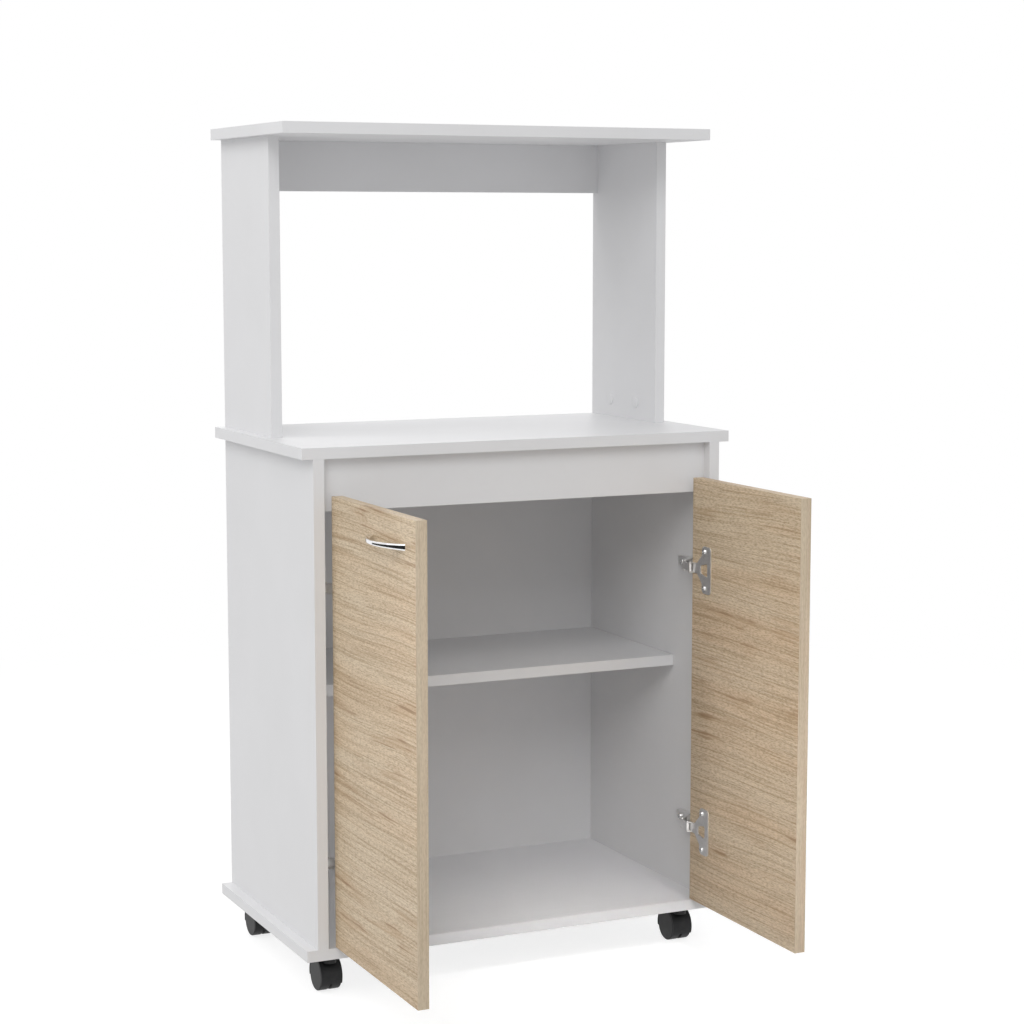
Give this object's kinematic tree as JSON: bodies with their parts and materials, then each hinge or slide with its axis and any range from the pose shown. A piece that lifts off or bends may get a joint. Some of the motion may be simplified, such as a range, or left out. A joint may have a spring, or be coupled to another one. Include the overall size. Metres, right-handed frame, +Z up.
{
  "type": "microwave cabinet",
  "caption": "White microwave cabinet on casters with oak-look hinged doors, chrome bow handles, an inner shelf, an open bay over the worktop and a top shelf",
  "frame": {"origin": "on the floor, under the middle of the outline with both doors open", "axes": "+X to the right seen from the front, +Y to the back, +Z up"},
  "size_m": [0.63, 0.6432, 1.1555],
  "materials": {
    "white_board": "matte white melamine on chipboard",
    "oak_board": "satin oak-look melamine with the grain across",
    "hinge_metal": "nickel-plated pressed steel",
    "handle_metal": "bright chrome",
    "caster_plastic": "moulded black nylon",
    "fastener_steel": "zinc-plated steel",
    "beech_dowel": "raw beech"
  },
  "bodies": {
    "carcass": {"base_panel": "white_board", "left_side_panel": "white_board", "right_side_panel": "white_board", "back_panel": "white_board", "front_apron": "white_board", "worktop": "white_board", "inner_shelf": "white_board", "left_upright": "white_board", "right_upright": "white_board", "top_shelf": "white_board", "upper_back_rail": "white_board", "panel_screws": "fastener_steel", "cam_locks": "fastener_steel", "cam_bolts": "fastener_steel", "shelf_pegs": "fastener_steel", "wood_dowels": "beech_dowel", "left_hinge_plates": "hinge_metal", "left_upper_hinge_arm": "hinge_metal", "left_lower_hinge_arm": "hinge_metal", "right_hinge_plates": "hinge_metal", "right_upper_hinge_arm": "hinge_metal", "right_lower_hinge_arm": "hinge_metal", "hinge_screws": "fastener_steel", "hinge_arm_pins": "fastener_steel", "caster_plates": "fastener_steel", "caster_plate_screws": "fastener_steel"},
    "left_upper_link": {"left_upper_hinge_link": "hinge_metal"},
    "left_lower_link": {"left_lower_hinge_link": "hinge_metal"},
    "left_door": {"left_door_panel": "oak_board", "left_upper_hinge_wing": "hinge_metal", "left_lower_hinge_wing": "hinge_metal", "left_door_pins": "fastener_steel", "left_wing_screws": "fastener_steel", "left_handle_screws": "fastener_steel", "left_handle": "handle_metal"},
    "right_upper_link": {"right_upper_hinge_link": "hinge_metal"},
    "right_lower_link": {"right_lower_hinge_link": "hinge_metal"},
    "right_door": {"right_door_panel": "oak_board", "right_upper_hinge_wing": "hinge_metal", "right_lower_hinge_wing": "hinge_metal", "right_door_pins": "fastener_steel", "right_wing_screws": "fastener_steel", "right_handle_screws": "fastener_steel", "right_handle": "handle_metal"},
    "front_left_caster_swivel": {"front_left_caster_hood": "caster_plastic", "front_left_caster_axle": "fastener_steel"},
    "front_left_caster_left_wheel_body": {"front_left_caster_left_wheel": "caster_plastic"},
    "front_left_caster_right_wheel_body": {"front_left_caster_right_wheel": "caster_plastic"},
    "front_right_caster_swivel": {"front_right_caster_hood": "caster_plastic", "front_right_caster_axle": "fastener_steel"},
    "front_right_caster_left_wheel_body": {"front_right_caster_left_wheel": "caster_plastic"},
    "front_right_caster_right_wheel_body": {"front_right_caster_right_wheel": "caster_plastic"},
    "rear_left_caster_swivel": {"rear_left_caster_hood": "caster_plastic", "rear_left_caster_axle": "fastener_steel"},
    "rear_left_caster_left_wheel_body": {"rear_left_caster_left_wheel": "caster_plastic"},
    "rear_left_caster_right_wheel_body": {"rear_left_caster_right_wheel": "caster_plastic"},
    "rear_right_caster_swivel": {"rear_right_caster_hood": "caster_plastic", "rear_right_caster_axle": "fastener_steel"},
    "rear_right_caster_left_wheel_body": {"rear_right_caster_left_wheel": "caster_plastic"},
    "rear_right_caster_right_wheel_body": {"rear_right_caster_right_wheel": "caster_plastic"}
  },
  "joints": [
    {"name": "left_upper_link_pivot", "type": "hinge", "parent": "carcass", "child": "left_upper_link", "pos_m": [-0.25975, -0.01931, 0.55], "axis": [0, 0, 1], "range_deg": [-94.34, 2.6]},
    {"name": "left_lower_link_pivot", "type": "hinge", "parent": "carcass", "child": "left_lower_link", "pos_m": [-0.25975, -0.01931, 0.1805], "axis": [0, 0, 1], "range_deg": [-95.34, 3.5]},
    {"name": "left_door_pivot", "type": "hinge", "parent": "left_upper_link", "child": "left_door", "pos_m": [-0.2555, -0.0411, 0.55], "axis": [0, 0, 1], "range_deg": [-7, 185.84]},
    {"name": "right_upper_link_pivot", "type": "hinge", "parent": "carcass", "child": "right_upper_link", "pos_m": [0.25975, -0.01931, 0.55], "axis": [0, 0, 1], "range_deg": [-2.6, 94.34]},
    {"name": "right_lower_link_pivot", "type": "hinge", "parent": "carcass", "child": "right_lower_link", "pos_m": [0.25975, -0.01931, 0.1805], "axis": [0, 0, 1], "range_deg": [-3.5, 95.34]},
    {"name": "right_door_pivot", "type": "hinge", "parent": "right_upper_link", "child": "right_door", "pos_m": [0.2555, -0.0411, 0.55], "axis": [0, 0, 1], "range_deg": [-185.84, 7]},
    {"name": "front_left_caster_swivel_axis", "type": "hinge", "parent": "carcass", "child": "front_left_caster_swivel", "pos_m": [-0.268, 0.0021, 0.051], "axis": [0, 0, 1], "continuous": true},
    {"name": "front_left_caster_left_wheel_axis", "type": "hinge", "parent": "front_left_caster_swivel", "child": "front_left_caster_left_wheel_body", "pos_m": [-0.2767, 0.0166, 0.022], "axis": [1, 0, 0], "continuous": true},
    {"name": "front_left_caster_right_wheel_axis", "type": "hinge", "parent": "front_left_caster_swivel", "child": "front_left_caster_right_wheel_body", "pos_m": [-0.2593, 0.0166, 0.022], "axis": [1, 0, 0], "continuous": true},
    {"name": "front_right_caster_swivel_axis", "type": "hinge", "parent": "carcass", "child": "front_right_caster_swivel", "pos_m": [0.268, 0.0021, 0.051], "axis": [0, 0, 1], "continuous": true},
    {"name": "front_right_caster_left_wheel_axis", "type": "hinge", "parent": "front_right_caster_swivel", "child": "front_right_caster_left_wheel_body", "pos_m": [0.2593, 0.0166, 0.022], "axis": [1, 0, 0], "continuous": true},
    {"name": "front_right_caster_right_wheel_axis", "type": "hinge", "parent": "front_right_caster_swivel", "child": "front_right_caster_right_wheel_body", "pos_m": [0.2767, 0.0166, 0.022], "axis": [1, 0, 0], "continuous": true},
    {"name": "rear_left_caster_swivel_axis", "type": "hinge", "parent": "carcass", "child": "rear_left_caster_swivel", "pos_m": [-0.268, 0.2751, 0.051], "axis": [0, 0, 1], "continuous": true},
    {"name": "rear_left_caster_left_wheel_axis", "type": "hinge", "parent": "rear_left_caster_swivel", "child": "rear_left_caster_left_wheel_body", "pos_m": [-0.2767, 0.2896, 0.022], "axis": [1, 0, 0], "continuous": true},
    {"name": "rear_left_caster_right_wheel_axis", "type": "hinge", "parent": "rear_left_caster_swivel", "child": "rear_left_caster_right_wheel_body", "pos_m": [-0.2593, 0.2896, 0.022], "axis": [1, 0, 0], "continuous": true},
    {"name": "rear_right_caster_swivel_axis", "type": "hinge", "parent": "carcass", "child": "rear_right_caster_swivel", "pos_m": [0.268, 0.2751, 0.051], "axis": [0, 0, 1], "continuous": true},
    {"name": "rear_right_caster_left_wheel_axis", "type": "hinge", "parent": "rear_right_caster_swivel", "child": "rear_right_caster_left_wheel_body", "pos_m": [0.2593, 0.2896, 0.022], "axis": [1, 0, 0], "continuous": true},
    {"name": "rear_right_caster_right_wheel_axis", "type": "hinge", "parent": "rear_right_caster_swivel", "child": "rear_right_caster_right_wheel_body", "pos_m": [0.2767, 0.2896, 0.022], "axis": [1, 0, 0], "continuous": true}
  ],
  "couplings": [
    {"joint": "left_door_pivot", "follows": "left_upper_link_pivot", "ratio": -1.954},
    {"joint": "left_lower_link_pivot", "follows": "left_upper_link_pivot", "ratio": 1},
    {"joint": "right_door_pivot", "follows": "right_upper_link_pivot", "ratio": -1.954},
    {"joint": "right_lower_link_pivot", "follows": "right_upper_link_pivot", "ratio": 1}
  ]
}
